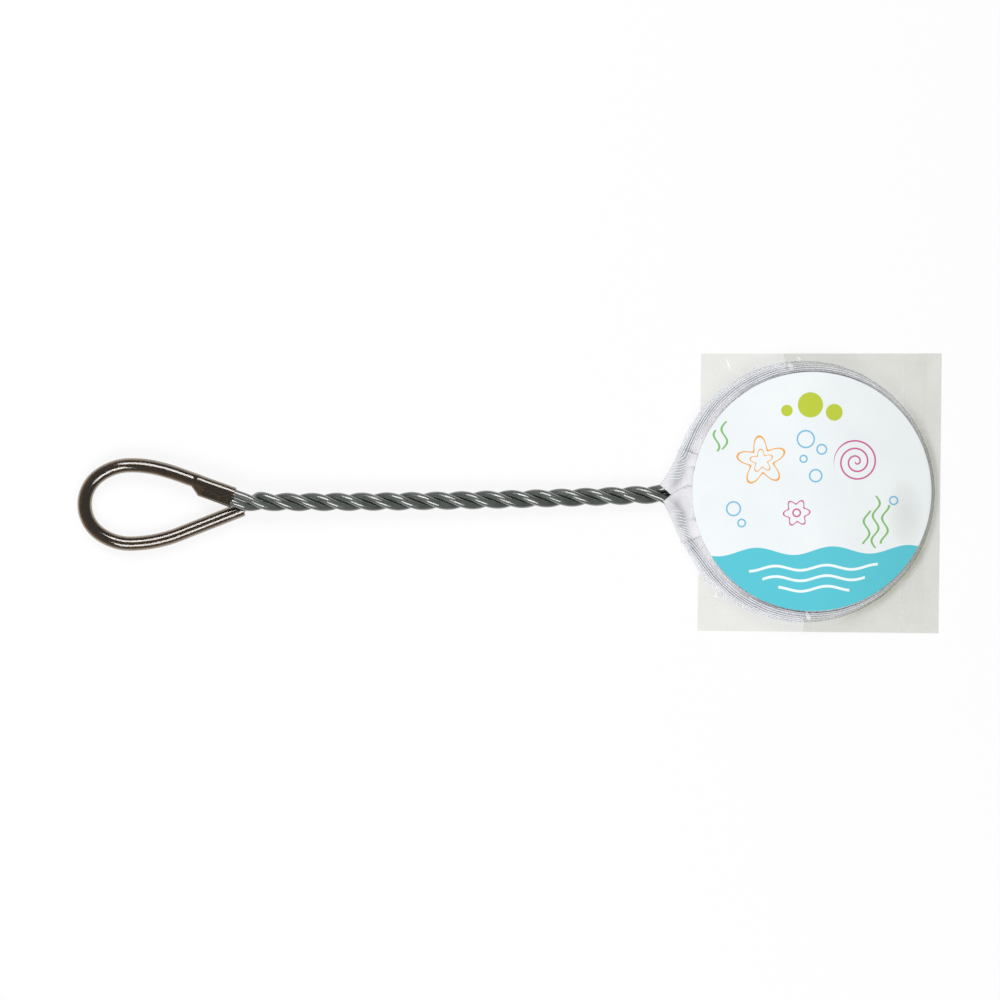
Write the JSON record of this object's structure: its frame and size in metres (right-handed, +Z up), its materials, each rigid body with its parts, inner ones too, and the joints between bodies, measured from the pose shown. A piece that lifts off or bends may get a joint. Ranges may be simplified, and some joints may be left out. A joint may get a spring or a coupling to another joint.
{
  "type": "aquarium fish net",
  "caption": "Hand net for an aquarium: round hoop with a fine mesh pouch, twisted wire handle and sleeved hanging loop, in a clear bag with a round card.",
  "frame": {"origin": "middle of the whole part in plan, at the height of the table it lies on", "axes": "+X along the handle towards the hoop, +Y across it, +Z up from the table"},
  "size_m": [0.3314, 0.109, 0.0103],
  "materials": {
    "steel": "galvanised",
    "green_grey_pvc": "smooth",
    "smoke_pvc": "translucent",
    "white_mesh": "fine netting",
    "white_thread": "thread",
    "printed_card": "printed",
    "clear_film": "clear film",
    "adhesive": "tacky"
  },
  "bodies": {
    "net": {"wire_core": "steel", "wire_coating": "green_grey_pvc", "grip_sleeve": "smoke_pvc", "hem_casing": "white_mesh", "hem_stitching": "white_thread", "pouch_panel_upper": "white_mesh", "pouch_panel_lower": "white_mesh", "pouch_seam": "white_thread"},
    "bag": {"polybag": "clear_film", "adhesive_strip": "adhesive"},
    "card": {"insert_card": "printed_card"}
  },
  "joints": [
    {"name": "bag_slide", "type": "slide", "parent": "net", "child": "bag", "axis": [0.9996, -0.0297, 0], "range_m": [0, 0.11]},
    {"name": "card_slide", "type": "slide", "parent": "bag", "child": "card", "axis": [-0.9996, 0.0297, 0], "range_m": [0, 0.055]}
  ]
}
